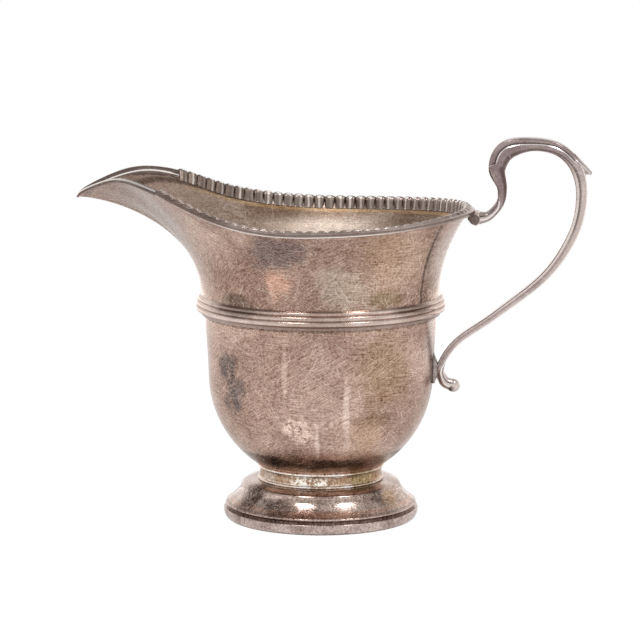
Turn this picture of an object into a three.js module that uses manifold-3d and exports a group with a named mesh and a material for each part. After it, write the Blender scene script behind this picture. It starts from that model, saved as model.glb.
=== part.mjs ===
// Helmet-shaped cream jug in silver plate. A spun foot on a rim band carries a collar and a round
// bowl. A flared upper body with a drawn-out spout is lapped over the bowl, a reeded girdle hides
// the lap, a gadrooned border and a plain lip edge the mouth, and a cast scroll handle is soldered
// on at two pads. Millimetres, +Z up, the spout towards -X and the handle towards +X.

import * as THREE from 'three';
import { mergeVertices } from 'three/addons/utils/BufferGeometryUtils.js';
import Module from 'manifold-3d';

const wasm = await Module();
wasm.setup();

// Sheet, seams and facets
const sheet = 0.8;
const solderGap = 0.25;
const padSeam = 0.38;
const ringFacets = 40;
const rimFacets = 64;
const wallRows = 7;
const beadFacets = 2;
const curveFacets = 3;

// Short steps for taking the slope of the wall: along the rim, and as a share of its height
const rimStep = 0.5;
const riseStep = 0.002;

// Foot: a rim band round a skirt, a quarter-round step and a low dome with a flat top
const footRadius = 26.7;
const bandHeight = 2.9;
const bandThickness = 1.2;
const bandRound = 0.5;
const skirtLift = 0.4;
const grooveHeight = 0.5;
const stepOverhang = 0.8;
const stepRise = 4.3;
const stepWidth = 4.7;
const stepFullness = 0.63;
const domeRise = 3.5;
const domeLedge = 0.5;
const seatWidth = 2;

// Collar between the foot and the bowl
const collarRadius = 16.9;
const collarBead = 0.45;
const collarHeight = 3.2;
const collarThickness = 1.5;

// Bowl: half an ellipsoid that sits in the collar, and a slightly opening wall above it
const bowlDepth = 30;
const bowlBelly = 30.7;
const bowlDraft = 1;
const bowlWall = 16.65;

// Girdle band over the lap of the bowl and the upper body
const girdleCover = 1.2;
const mainReed = 1.15;
const smallReed = 0.65;
const topReed = 0.45;
const reedStep = 0.3;
const reedTurn = 60;
const lapHeight = 3.4;

// Mouth, as the top edge of the upper body's sheet: reaches are from the jug's axis, heights from
// the foot of the girdle
const spoutReach = 66.3;
const tipHeight = 31.3;
const tipWidth = 4.6;
const tipBack = 0.9;
const tipRise = 1.2;
const rimFront = 5;
const rimWidth = 80.6;
const rimHeight = 26.2;
const rimBack = 40.6;
const rimBackHeight = 27.4;
const backNarrowing = 1.15;

// Spout's edge from its lip to its shoulder: shares of the spout's reach and of the mouth's width
const lipHeight = 37;
const crownHeight = 36;
const throatHeight = 29.7;
const shoulderHeight = 27.2;
const spoutStations = [
  { reach: 0.822, width: 0.318, height: lipHeight },
  { reach: 0.679, width: 0.568, height: crownHeight },
  { reach: 0.425, width: 0.824, height: throatHeight },
  { reach: 0.256, width: 0.96, height: shoulderHeight },
];

// Bend of the flare: 1 gives a plain parabola, less turns the sheet out flat at the edge
const bodyBend = 1.05;
const tipBend = 0.6;
const tipBendAngle = 8;

// Moulding on the rim: a thin outer edge, and a rounded face that hangs inside the mouth
const edgeOverhang = 0.25;
const edgeHeight = 0.35;
const mouldingHeight = 2.5;
const longestLeg = 3.6;
const mouldingRise = 2.3;
const mouldingBulge = 1.55;
const mouldingDrop = 1.25;
const mouldingStart = 70;
const mouldingEnd = 190;
const mouldingFacets = 3;
const lobePitch = 3.05;
const lobeDepth = 0.4;
const lobeSteps = 3;
const plainLip = 35;
const lipSteps = 24;
const lipTipShare = 0.4;
const lipTaper = 0.7;

// Handle: root pad under the rim, scroll with a spur, strap, heel pad and curl with a knob
const handleLength = 32.5;
const handleRise = 20.8;
const handleThickness = 4.4;
const handleDepth = 7;
const handleSteps = 58;
const handleFacets = 4;
const flatShare = 0.2;
const rootDrop = 1;
const rootTilt = 15;
const rootLead = 2.9;
const rootPadHeight = 3.6;
const rootPadReach = 2.1;
const rootPadDepth = 4.8;
const heelRise = 1.5;
const heelShare = 0.432;
const heelPadHeight = 6.8;
const heelPadThickness = 0.6;
const heelPadDepth = 3.4;
const curlDrop = 4.7;
const curlReach = 3.4;
const knobRadius = 2.05;
const knobFacets = 12;
const spurStation = 8.1;
const spurLength = 6.4;
const spurDepth = 4.6;
const spurBevel = 0.5;
const spurDroop = 0.9;
const spurSlope = 1.08;
const spurPoint = 0.5;

// Scroll above the root: shares of the way out to the handle's reach and up to its top, then of the
// handle's thickness seen from the side and of its depth across
const rootNeck = { thickness: 0.591, depth: 0.6 };
const scrollStations = [
  { out: 0.193, up: 0.19, thickness: 0.477, depth: 0.571 },
  { out: 0.215, up: 0.385, thickness: 0.568, depth: 0.629 },
  { out: 0.168, up: 0.63, thickness: 0.977, depth: 0.8 },
  { out: 0.252, up: 0.842, thickness: 1, depth: 0.943 },
  { out: 0.472, up: 0.928, thickness: 0.75, depth: 1 },
  { out: 0.708, up: 0.869, thickness: 0.75, depth: 1 },
  { out: 0.869, up: 0.647, thickness: 0.795, depth: 0.943 },
  { out: 0.923, up: 0.285, thickness: 0.75, depth: 0.857 },
];

// Strap below it: shares of the way from the heel out to the reach and up to the root
const strapStations = [
  { out: 0.8835, up: 0.9, thickness: 0.636, depth: 0.771 },
  { out: 0.7, up: 0.626, thickness: 0.545, depth: 0.686 },
  { out: 0.368, up: 0.364, thickness: 0.455, depth: 0.6 },
  { out: 0.108, up: 0.182, thickness: heelShare, depth: 0.543 },
  { out: 0, up: 0.02, thickness: heelShare, depth: 0.514 },
];

// Curl under the heel: shares of its reach and of its drop
const curlStations = [
  { out: 0.28, down: 0.72, thickness: 0.5, depth: 0.514 },
  { out: 1, down: 1, thickness: 0.591, depth: 0.486 },
];

// Sizes that follow from the ones above
const radians = THREE.MathUtils.degToRad;
const skirtRadius = footRadius - bandThickness - solderGap;
const grooveTop = bandHeight + grooveHeight;
const stepTop = grooveTop + stepRise;
const footTop = stepTop + domeRise;
const collarBottom = footTop + solderGap;
const collarTop = collarBottom + collarHeight;
const bowlSeat = Math.sqrt(1 - (collarRadius/bowlBelly)**2);
const bowlShoulder = collarTop + solderGap + bowlDepth*bowlSeat;
const bowlRadius = bowlBelly + bowlDraft;
const girdleBottom = bowlShoulder + bowlWall;
const bodyRadius = bowlRadius + solderGap + sheet;
const bodyBottom = girdleBottom + girdleCover;
const girdleTop = bodyBottom + 2*(mainReed + smallReed + topReed);
const lapTop = bodyBottom + lapHeight;
const backTop = girdleBottom + rimBackHeight;
const handleReach = rimBack + handleLength;
const handleTop = backTop + handleRise;
const heelThickness = heelShare*handleThickness;
const tipOverhang = (solderGap + edgeHeight)*lipTipShare;

const material = (colour, roughness) =>
  new THREE.MeshStandardMaterial({ color: colour, roughness, metalness: 1 });

// Turns a profile of (radius, height) points round the jug's axis.
function turned(points) {
  const geometry = new THREE.LatheGeometry(points, ringFacets);
  geometry.rotateX(Math.PI/2);
  return geometry;
}

function closed(points) {
  return [...points, points[0].clone()];
}

// Points of a profile with a sheet's thickness: out along the given side, back along the other.
function thickened(points) {
  const inner = points.map((point, i) => {
    const before = points[Math.max(i - 1, 0)];
    const after = points[Math.min(i + 1, points.length - 1)];
    const along = after.clone().sub(before).normalize();
    const onAxis = point.x < sheet;
    const inward = onAxis ? new THREE.Vector2(0, 1) : new THREE.Vector2(-along.y, along.x);
    return point.clone().addScaledVector(inward, sheet);
  });
  return [...points, ...inner.reverse()];
}

// Skin over a row of equal closed outlines. Flat outlines for the two ends make it an open run.
function loft(rings, ends = null) {
  const count = rings[0].length;
  const positions = rings.flat().flatMap((point) => point.toArray());
  const spans = ends ? rings.length - 1 : rings.length;
  const index = [];
  for (let i = 0; i < spans; i += 1) {
    const here = i*count;
    const next = ((i + 1) % rings.length)*count;
    for (let j = 0; j < count; j += 1) {
      const k = (j + 1) % count;
      index.push(here + j, next + j, next + k, here + j, next + k, here + k);
    }
  }
  if (ends) {
    const last = (rings.length - 1)*count;
    for (const [a, b, c] of THREE.ShapeUtils.triangulateShape(ends[0], [])) {
      index.push(a, b, c);
    }
    for (const [a, b, c] of THREE.ShapeUtils.triangulateShape(ends[1], [])) {
      index.push(last + c, last + b, last + a);
    }
  }
  const geometry = new THREE.BufferGeometry();
  geometry.setAttribute('position', new THREE.Float32BufferAttribute(positions, 3));
  geometry.setIndex(index);
  geometry.computeVertexNormals();
  return geometry;
}

// Side outline of (x, z) points, extruded evenly to both sides of the jug's middle plane.
function sidePlate(shape, depth, bevel = 0) {
  const geometry = new THREE.ExtrudeGeometry(shape, {
    depth: depth - 2*bevel,
    bevelEnabled: bevel > 0,
    bevelThickness: bevel,
    bevelSize: bevel,
    bevelOffset: -bevel,
    bevelSegments: 1,
    curveSegments: curveFacets,
  });
  geometry.translate(0, 0, bevel - depth/2);
  geometry.rotateX(Math.PI/2);
  return geometry;
}

function solid(geometry) {
  const bare = geometry.clone();
  bare.deleteAttribute('normal');
  bare.deleteAttribute('uv');
  const merged = mergeVertices(bare, 1e-4);
  return new wasm.Manifold(new wasm.Mesh({
    numProp: 3,
    vertProperties: merged.attributes.position.array,
    triVerts: Uint32Array.from(merged.index.array),
  }));
}

function joined(geometries) {
  const mesh = geometries.map(solid).reduce((whole, piece) => whole.add(piece)).getMesh();
  const geometry = new THREE.BufferGeometry();
  geometry.setAttribute('position', new THREE.BufferAttribute(mesh.vertProperties, 3));
  geometry.setIndex(new THREE.BufferAttribute(mesh.triVerts, 1));
  geometry.computeVertexNormals();
  return geometry;
}

// Outer radius of the bowl at a height.
function bowlSurface(height) {
  if (height < bowlShoulder) {
    const drop = (bowlShoulder - height)/bowlDepth;
    return bowlBelly*Math.sqrt(Math.max(1 - drop*drop, 0));
  }
  const rise = Math.min((height - bowlShoulder)/bowlWall, 1);
  return THREE.MathUtils.lerp(bowlBelly, bowlRadius, rise);
}

// Foot

function footBand() {
  const inner = skirtRadius + solderGap;
  const path = new THREE.Path();
  path.moveTo(inner, 0);
  path.lineTo(footRadius - bandRound, 0);
  path.quadraticCurveTo(footRadius, 0, footRadius, bandRound);
  path.lineTo(footRadius, bandHeight - bandRound);
  path.quadraticCurveTo(footRadius, bandHeight, footRadius - bandRound, bandHeight);
  path.lineTo(inner, bandHeight);
  return turned(closed(path.getPoints(beadFacets)));
}

function foot() {
  const domeTop = collarRadius + domeLedge;
  const domeSpan = footRadius - stepWidth - domeTop;
  const opening = collarRadius - seatWidth;
  const stepRadius = skirtRadius + stepOverhang;
  const stepMiddle = THREE.MathUtils.lerp(grooveTop, stepTop, stepFullness);
  const inner = skirtRadius - sheet;
  const path = new THREE.Path();
  path.moveTo(skirtRadius, skirtLift);
  path.lineTo(skirtRadius, grooveTop);
  path.lineTo(stepRadius, grooveTop);
  path.quadraticCurveTo(stepRadius, stepMiddle, domeTop + domeSpan, stepTop);
  path.absellipse(domeTop, stepTop, domeSpan, domeRise, 0, Math.PI/2, false, 0);
  path.lineTo(opening, footTop);
  path.lineTo(opening, footTop - sheet);
  path.lineTo(domeTop, footTop - sheet);
  path.absellipse(domeTop, stepTop - sheet, domeSpan - sheet, domeRise, Math.PI/2, 0, true, 0);
  path.quadraticCurveTo(inner, grooveTop, inner, skirtLift);
  return turned(closed(path.getPoints(curveFacets)));
}

// Collar: a plain drum between two beads. Its top stands one seam under the bowl.
function collar() {
  const inner = collarRadius - collarThickness;
  const path = new THREE.Path();
  path.moveTo(inner, collarBottom);
  for (const height of [collarBottom + collarBead, collarTop - collarBead]) {
    path.absellipse(collarRadius, height, collarBead, collarBead, -Math.PI/2, Math.PI/2, false, 0);
  }
  path.lineTo(inner, collarTop - collarThickness);
  return turned(closed(path.getPoints(beadFacets)));
}

function bowl() {
  const path = new THREE.Path();
  path.moveTo(0, bowlShoulder - bowlDepth);
  path.absellipse(0, bowlShoulder, bowlBelly, bowlDepth, -Math.PI/2, 0, false, 0);
  path.lineTo(bowlRadius, girdleBottom);
  path.lineTo(bowlRadius, lapTop);
  return turned(thickened(path.getPoints(2*curveFacets - 1)));
}

// Girdle: three reeds of different size over a stepped back, which fits the lap.
function girdle() {
  const lowInner = bowlRadius + solderGap;
  const highInner = bodyRadius + solderGap;
  const shelf = bodyBottom - solderGap;
  const turn = radians(reedTurn);
  const path = new THREE.Path();
  path.moveTo(lowInner, girdleBottom);
  path.lineTo(highInner - reedStep, girdleBottom);
  path.lineTo(highInner, bodyBottom);
  let height = bodyBottom;
  let outer = highInner + mainReed;
  for (const reed of [mainReed, smallReed, topReed]) {
    height += reed;
    path.absellipse(outer - reed, height, reed, reed, -turn, turn, false, 0);
    height += reed;
    outer -= reedStep;
  }
  path.lineTo(highInner, girdleTop);
  path.lineTo(highInner, shelf);
  path.lineTo(lowInner, shelf);
  return turned(closed(path.getPoints(beadFacets)));
}

// Rim line, run round the mouth from the tip of the spout, along one side, the back and the other.
const tipReach = spoutReach - tipOverhang;
const halfRim = [
  new THREE.Vector3(tipBack - tipReach, tipWidth/2, girdleBottom + tipHeight + tipRise),
];
for (const { reach, width, height } of spoutStations) {
  halfRim.push(new THREE.Vector3(-reach*spoutReach, width*rimWidth/2, girdleBottom + height));
}
for (const turn of [0, 30, 55, 75]) {
  const angle = radians(turn);
  halfRim.push(new THREE.Vector3(
    THREE.MathUtils.lerp(-rimFront, rimBack, Math.sin(angle)),
    rimWidth/2*Math.cos(angle)**backNarrowing,
    girdleBottom + THREE.MathUtils.lerp(rimHeight, rimBackHeight, Math.sin(angle)),
  ));
}
const mirrored = (point) => new THREE.Vector3(point.x, -point.y, point.z);
const rimLine = new THREE.CatmullRomCurve3([
  new THREE.Vector3(-tipReach, 0, girdleBottom + tipHeight),
  ...halfRim.map(mirrored),
  new THREE.Vector3(rimBack, 0, backTop),
  ...halfRim.toReversed(),
], true);
const rimLength = rimLine.getLength();

// Point on the outside of the upper body: u runs round the rim, rise goes from girdle to rim.
function wallPoint(u, rise) {
  const rim = rimLine.getPointAt(THREE.MathUtils.euclideanModulo(u, 1));
  const turn = Math.atan2(rim.y, rim.x);
  const fromSpout = (Math.PI - Math.abs(turn))/radians(tipBendAngle);
  const bend = THREE.MathUtils.lerp(bodyBend, tipBend, Math.exp(-fromSpout*fromSpout));
  const flare = 1 - (1 - rise*rise)**bend;
  const radius = THREE.MathUtils.lerp(bodyRadius, Math.hypot(rim.x, rim.y), flare);
  const height = THREE.MathUtils.lerp(girdleTop, rim.z, rise);
  return new THREE.Vector3(radius*Math.cos(turn), radius*Math.sin(turn), height);
}

// Step along the wall at one height, square to the axis of the loft.
function alongWall(u, rise) {
  const step = rimStep/rimLength;
  return wallPoint(u + step, rise).sub(wallPoint(u - step, rise));
}

function wallNormal(u, rise) {
  const above = wallPoint(u, Math.min(rise + riseStep, 1));
  const below = wallPoint(u, Math.max(rise - riseStep, 0));
  return alongWall(u, rise).cross(above.sub(below)).normalize();
}

function upperBody() {
  const rises = Array.from({ length: wallRows + 1 }, (_, i) => Math.sin(Math.PI/2*i/wallRows));
  const rings = [];
  for (let i = 0; i < rimFacets; i += 1) {
    const u = i/rimFacets;
    const outer = rises.map((rise) => wallPoint(u, rise));
    const inner = rises.map((rise, row) =>
      outer[row].clone().addScaledVector(wallNormal(u, rise), -sheet));
    const outerFoot = outer[0].clone().setZ(bodyBottom);
    const innerFoot = inner[0].clone().setZ(bodyBottom);
    rings.push([outerFoot, ...outer, ...inner.reverse(), innerFoot]);
  }
  return loft(rings);
}

// Frame on the rim edge: out of the sheet, and up along it, both square to the rim line. The leg is
// how far the moulding reaches down the sheet.
function rimFrame(u) {
  const origin = wallPoint(u, 1);
  const along = alongWall(u, 1).normalize();
  let rise = 1;
  let chord = origin.clone();
  let leg = 0;
  while (origin.z - chord.z < mouldingHeight && leg < longestLeg) {
    rise -= riseStep;
    chord = wallPoint(u, rise);
    leg = chord.distanceTo(origin);
  }
  const out = along.clone().cross(origin.clone().sub(chord)).normalize();
  const up = out.clone().cross(along).normalize();
  return { origin, out, up, leg };
}

// Section of the rim moulding in (out, up): share shrinks it towards the tip, sink makes a valley.
function mouldingOutline(leg, share, sink) {
  const seat = -sheet - solderGap;
  const bulge = mouldingBulge*share - sink;
  const rise = mouldingRise*share - sink;
  const middle = -mouldingDrop*share;
  const outline = [
    new THREE.Vector2(edgeOverhang*share, solderGap),
    new THREE.Vector2(edgeOverhang*share, solderGap + edgeHeight*share),
  ];
  for (let i = 0; i <= mouldingFacets; i += 1) {
    const angle = radians(THREE.MathUtils.lerp(mouldingStart, mouldingEnd, i/mouldingFacets));
    outline.push(new THREE.Vector2(seat + bulge*Math.cos(angle), middle + rise*Math.sin(angle)));
  }
  outline.push(new THREE.Vector2(seat, -leg*share));
  outline.push(new THREE.Vector2(seat, solderGap));
  return outline;
}

function mouldingRun(stations) {
  const outlines = [];
  const rings = stations.map(({ u, share, sink }) => {
    const { origin, out, up, leg } = rimFrame(u);
    const outline = mouldingOutline(leg, share, sink);
    outlines.push(outline);
    return outline.map((point) =>
      origin.clone().addScaledVector(out, point.x).addScaledVector(up, point.y));
  });
  return loft(rings, [outlines[0], outlines.at(-1)]);
}

// Gadrooned border: equal lobes side by side, each rising from a valley and falling back to it.
function gadroonBorder() {
  const start = (plainLip + solderGap/2)/rimLength;
  const span = 1 - 2*start;
  const steps = lobeSteps*Math.round(span*rimLength/lobePitch);
  const stations = [];
  for (let i = 0; i <= steps; i += 1) {
    const crest = Math.sin(Math.PI*(i % lobeSteps)/lobeSteps);
    stations.push({ u: start + span*i/steps, share: 1, sink: lobeDepth*(1 - crest) });
  }
  return mouldingRun(stations);
}

// Plain lip round the spout, thinner towards the tip.
function spoutLip() {
  const end = (plainLip - solderGap/2)/rimLength;
  const stations = [];
  for (let i = 0; i <= lipSteps; i += 1) {
    const place = 2*i/lipSteps - 1;
    const share = THREE.MathUtils.lerp(lipTipShare, 1, Math.abs(place)**lipTaper);
    stations.push({ u: end*place, share, sink: 0 });
  }
  return mouldingRun(stations);
}

// Handle

const rootX = rimBack + rootPadReach + solderGap;
const rootZ = backTop - rootDrop;
const heelZ = bowlShoulder + heelRise;
const heelX = bowlSurface(heelZ) + heelPadThickness + 2*solderGap + heelThickness/2;

// Outer radius of the upper body at the back, at a height below the rim.
function backSurface(height) {
  const rise = (height - girdleTop)/(backTop - girdleTop);
  return THREE.MathUtils.lerp(bodyRadius, rimBack, 1 - (1 - rise*rise)**bodyBend);
}

// Root pad: it fills the corner under the rim's edge, its face square to the start of the scroll.
function rootPad() {
  const top = rootZ + rootPadHeight/2;
  const bottom = rootZ - rootPadHeight/2;
  const underEdge = backTop - 1.5*padSeam;
  const edgeFace = rimBack + edgeOverhang + edgeHeight + padSeam;
  const wallFace = (height) => backSurface(height) + padSeam;
  const face = (height) => rimBack + rootPadReach + (rootZ - height)*Math.tan(radians(rootTilt));
  const shape = new THREE.Shape();
  shape.moveTo(wallFace(rootZ), rootZ);
  shape.quadraticCurveTo(wallFace(rootZ), bottom, face(bottom), bottom);
  shape.lineTo(face(top), top);
  shape.lineTo(edgeFace, top);
  shape.lineTo(edgeFace, underEdge);
  shape.lineTo(wallFace(underEdge), underEdge);
  return sidePlate(shape, rootPadDepth);
}

function heelPad() {
  const top = heelZ + heelPadHeight/2;
  const bottom = heelZ - heelPadHeight/2;
  const face = heelX - heelThickness/2 - solderGap;
  const shape = new THREE.Shape();
  shape.moveTo(bowlSurface(bottom) + solderGap, bottom);
  shape.lineTo(face, bottom);
  shape.lineTo(face, top);
  shape.lineTo(bowlSurface(top) + solderGap, top);
  shape.lineTo(bowlSurface(heelZ) + solderGap, heelZ);
  return sidePlate(shape, heelPadDepth);
}

// Middles and sizes of the scroll's sections, from the root to the end of the curl.
function handleStations() {
  const tilt = radians(rootTilt);
  const root = { thickness: rootPadHeight/handleThickness, depth: rootPadDepth/handleDepth };
  const station = (x, z, { thickness, depth }) => ({
    middle: new THREE.Vector3(x, 0, z),
    size: new THREE.Vector3(thickness*handleThickness, depth*handleDepth, 0),
  });
  return [
    station(rootX, rootZ, root),
    station(rootX + rootLead*Math.cos(tilt), rootZ + rootLead*Math.sin(tilt), rootNeck),
    ...scrollStations.map((place) => station(
      THREE.MathUtils.lerp(rootX, handleReach, place.out),
      THREE.MathUtils.lerp(rootZ, handleTop, place.up),
      place,
    )),
    ...strapStations.map((place) => station(
      THREE.MathUtils.lerp(heelX, handleReach, place.out),
      THREE.MathUtils.lerp(heelZ, rootZ, place.up),
      place,
    )),
    ...curlStations.map((place) => station(
      heelX + place.out*curlReach,
      heelZ - place.down*curlDrop,
      place,
    )),
  ];
}

// Section of the handle in (across, outward): flat sides between a crowned back and a soft belly.
function handleOutline(thickness, depth) {
  const flat = flatShare*thickness;
  const outline = [];
  for (const [side, first] of [[1, 0], [-1, Math.PI]]) {
    for (let i = 0; i <= handleFacets; i += 1) {
      const angle = first + Math.PI*i/handleFacets;
      outline.push(new THREE.Vector2(
        depth/2*Math.cos(angle), side*flat/2 + (thickness - flat)/2*Math.sin(angle)));
    }
  }
  return outline;
}

// Spur: a wedge that leaves the scroll's back in a straight line and ends in a short point.
function spur(spine, sizes) {
  const at = spurStation/(spine.points.length - 1);
  const base = spine.getPoint(at);
  const half = sizes.getPoint(at).x/2;
  const tip = new THREE.Vector2(handleReach, base.z - spurDroop);
  const lead = new THREE.Vector2(-1, spurSlope).normalize();
  const start = tip.clone().addScaledVector(lead, spurLength);
  const shape = new THREE.Shape();
  shape.moveTo(tip.x, tip.y);
  shape.lineTo(start.x, start.y);
  shape.lineTo(start.x - half, start.y - half);
  shape.lineTo(base.x, base.z - 2*half);
  shape.lineTo(base.x + half, base.z - 1.4*half);
  shape.lineTo(tip.x, tip.y - spurPoint);
  return sidePlate(shape, spurDepth, spurBevel);
}

function handle() {
  const stations = handleStations();
  const spine = new THREE.CatmullRomCurve3(stations.map(({ middle }) => middle), false, 'catmullrom');
  const sizes = new THREE.CatmullRomCurve3(stations.map(({ size }) => size), false, 'catmullrom');
  const across = new THREE.Vector3(0, -1, 0);
  const rings = [];
  const outlines = [];
  for (let i = 0; i <= handleSteps; i += 1) {
    const place = i/handleSteps;
    const middle = spine.getPoint(place);
    const outward = across.clone().cross(spine.getTangent(place));
    const { x: thickness, y: depth } = sizes.getPoint(place);
    const outline = handleOutline(thickness, depth);
    outlines.push(outline);
    rings.push(outline.map((point) =>
      middle.clone().addScaledVector(across, point.x).addScaledVector(outward, point.y)));
  }
  const scroll = loft(rings, [outlines[0], outlines.at(-1)]);
  const knob = new THREE.SphereGeometry(knobRadius, knobFacets, 2*knobFacets/3);
  const end = stations.at(-1).middle;
  knob.translate(end.x, end.y, end.z);
  return joined([scroll, knob, spur(spine, sizes)]);
}

// Assembly: the origin lies on the ground under the middle of the jug's length.
const jug = new THREE.Group();
jug.position.x = (spoutReach - handleReach)/2;

const pieces = [
  ['foot_rim_band', footBand(), 0xac9892, 0.35],
  ['foot', foot(), 0x8b7a72, 0.4],
  ['foot_collar', collar(), 0xaf967f, 0.45],
  ['bowl', bowl(), 0xb69889, 0.38],
  ['girdle_band', girdle(), 0xa88c80, 0.32],
  ['upper_body', upperBody(), 0xa18478, 0.4],
  ['gadroon_border', gadroonBorder(), 0x988880, 0.34],
  ['spout_lip', spoutLip(), 0x9a8b84, 0.34],
  ['handle', handle(), 0xb7a8a3, 0.28],
  ['handle_root_pad', rootPad(), 0x77665c, 0.5],
  ['handle_heel_pad', heelPad(), 0xb9aca6, 0.5],
];
for (const [name, geometry, colour, roughness] of pieces) {
  const mesh = new THREE.Mesh(geometry, material(colour, roughness));
  mesh.name = name;
  jug.add(mesh);
}

const creamer = new THREE.Group();
creamer.add(jug);

export default creamer;
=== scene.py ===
import math
from bisect import bisect_right

import bpy
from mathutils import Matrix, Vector


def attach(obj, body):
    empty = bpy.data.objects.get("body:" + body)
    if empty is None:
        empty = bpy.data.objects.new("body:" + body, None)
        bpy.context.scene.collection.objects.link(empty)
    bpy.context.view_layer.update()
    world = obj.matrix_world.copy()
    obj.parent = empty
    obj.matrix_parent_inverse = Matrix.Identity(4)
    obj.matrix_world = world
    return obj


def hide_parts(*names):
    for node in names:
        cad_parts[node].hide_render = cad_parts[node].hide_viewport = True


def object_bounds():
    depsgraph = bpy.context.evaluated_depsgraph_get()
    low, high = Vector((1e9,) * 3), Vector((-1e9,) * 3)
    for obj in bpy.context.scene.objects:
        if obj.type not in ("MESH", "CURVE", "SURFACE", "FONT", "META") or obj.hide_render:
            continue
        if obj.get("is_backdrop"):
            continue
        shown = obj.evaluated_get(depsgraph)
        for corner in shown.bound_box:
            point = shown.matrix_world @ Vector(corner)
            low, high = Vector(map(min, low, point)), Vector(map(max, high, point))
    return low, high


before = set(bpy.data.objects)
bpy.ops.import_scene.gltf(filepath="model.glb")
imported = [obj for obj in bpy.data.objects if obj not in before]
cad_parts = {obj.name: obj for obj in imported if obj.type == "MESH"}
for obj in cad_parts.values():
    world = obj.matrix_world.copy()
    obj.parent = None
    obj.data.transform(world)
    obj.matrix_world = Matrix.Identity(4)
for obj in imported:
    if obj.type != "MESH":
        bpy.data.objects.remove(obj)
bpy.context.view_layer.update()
print("frame loaded,", len(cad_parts), "solids")

mm = 0.001
axisX = -3.4          # the turned pieces' axis, in mm from the middle of the jug's length
sheet = 0.8           # thickness of the plated sheet, mm
seam = 0.03           # soldered seams are all but closed, mm
mapUnit = 100         # mm in one unit of a piece's map
mergeDistance = 2e-6  # points closer than this become one, m


# ways of modelling

def arcPoints(centre, size, start, end, steps):
    points = []
    for step in range(steps + 1):
        angle = math.radians(start + (end - start)*step/steps)
        points.append((centre[0] + size[0]*math.cos(angle), centre[1] + size[1]*math.sin(angle)))
    return points


def bentPoints(first, control, last, steps):
    points = []
    for step in range(steps + 1):
        share = step/steps
        a, b, c = (1 - share)**2, 2*share*(1 - share), share**2
        points.append((a*first[0] + b*control[0] + c*last[0], a*first[1] + b*control[1] + c*last[1]))
    return points


def choose(piece):
    bpy.ops.object.select_all(action="DESELECT")
    piece.select_set(True)
    bpy.context.view_layer.objects.active = piece


def editAll():
    bpy.ops.object.mode_set(mode="EDIT")
    bpy.ops.mesh.select_all(action="SELECT")


def leaveEdit():
    bpy.ops.object.mode_set(mode="OBJECT")


def drawLine(name, points):
    bpy.ops.mesh.primitive_plane_add(size=mm, calc_uvs=False)
    piece = bpy.context.active_object
    piece.name = name
    editAll()
    bpy.ops.mesh.merge(type="CENTER")
    bpy.ops.transform.translate(value=points[0])
    for before, after in zip(points, points[1:]):
        bpy.ops.mesh.extrude_region_move(TRANSFORM_OT_translate={"value": after - before})
    bpy.ops.mesh.select_all(action="SELECT")
    bpy.ops.mesh.remove_doubles(threshold=mergeDistance)
    return piece


def closeMesh(fill=False):
    editAll()
    bpy.ops.mesh.remove_doubles(threshold=mergeDistance)
    if fill:
        bpy.ops.mesh.fill_holes(sides=0)
        bpy.ops.mesh.select_all(action="SELECT")
    bpy.ops.mesh.normals_make_consistent(inside=False)
    leaveEdit()


# A profile of (radius, height) points is drawn and spun; its map runs round it and along the profile.
def turnedPiece(name, profile, steps=200):
    piece = drawLine(name, [Vector((axisX + radius, 0, height))*mm for radius, height in profile])
    bpy.ops.mesh.spin(steps=steps, angle=2*math.pi, center=(axisX*mm, 0, 0), axis=(0, 0, 1))
    closeMesh()
    way = [0.0]
    for before, after in zip(profile, profile[1:]):
        way.append(way[-1] + math.dist(before, after))
    middle = sum(radius for radius, height in profile)/len(profile)
    known = {}
    layer = piece.data.uv_layers.new(name="UVMap")
    for face in piece.data.polygons:
        facing = math.atan2(face.center.y, face.center.x - axisX*mm)
        for corner in face.loop_indices:
            point = piece.data.vertices[piece.data.loops[corner].vertex_index].co/mm
            radius = math.hypot(point.x - axisX, point.y)
            key = (round(radius, 2), round(point.z, 2))
            if key not in known:
                near = min(range(len(profile)), key=lambda k: math.dist(profile[k], (radius, point.z)))
                known[key] = way[near]
            angle = math.atan2(point.y, point.x - axisX)
            angle += 2*math.pi*round((facing - angle)/(2*math.pi))
            layer.data[corner].uv = (angle*middle/mapUnit, known[key]/mapUnit)
    return piece


# A flat net is added and each of its points is laid on the form, then its seams are merged.
def laidPiece(name, columns, rows, place, size, fill=False):
    bpy.ops.mesh.primitive_grid_add(x_subdivisions=columns, y_subdivisions=rows, size=2)
    piece = bpy.context.active_object
    piece.name = name
    for point in piece.data.vertices:
        column = round((point.co.x + 1)*columns/2)
        row = round((point.co.y + 1)*rows/2)
        point.co = (place(column, row) + Vector((axisX, 0, 0)))*mm
    for corner in piece.data.uv_layers.active.data:
        corner.uv = (corner.uv[0]*size[0]/mapUnit, corner.uv[1]*size[1]/mapUnit)
    closeMesh(fill)
    return piece


# a bar through closed sections, with both ends filled
def barPiece(name, sections, size):
    columns, rows = len(sections) - 1, len(sections[0]) - 1
    return laidPiece(name, columns, rows, lambda column, row: sections[column][row], size, True)


def applyModifier(piece, kind, **settings):
    choose(piece)
    bpy.ops.object.modifier_add(type=kind)
    modifier = piece.modifiers[-1]
    for setting, value in settings.items():
        setattr(modifier, setting, value)
    bpy.ops.object.modifier_apply(modifier=modifier.name)


# The wall grows inwards, and its inner face takes the piece's second finish.
def thicken(piece):
    facing = 0.0
    for face in piece.data.polygons:
        facing += face.area*face.normal.dot(face.center - Vector((axisX*mm, 0, face.center.z)))
    if facing < 0:
        editAll()
        bpy.ops.mesh.flip_normals()
        leaveEdit()
    for number in range(2):
        piece.data.materials.append(None)
    applyModifier(piece, "SOLIDIFY", thickness=sheet*mm, offset=-1, use_even_offset=True, material_offset=1)


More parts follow.
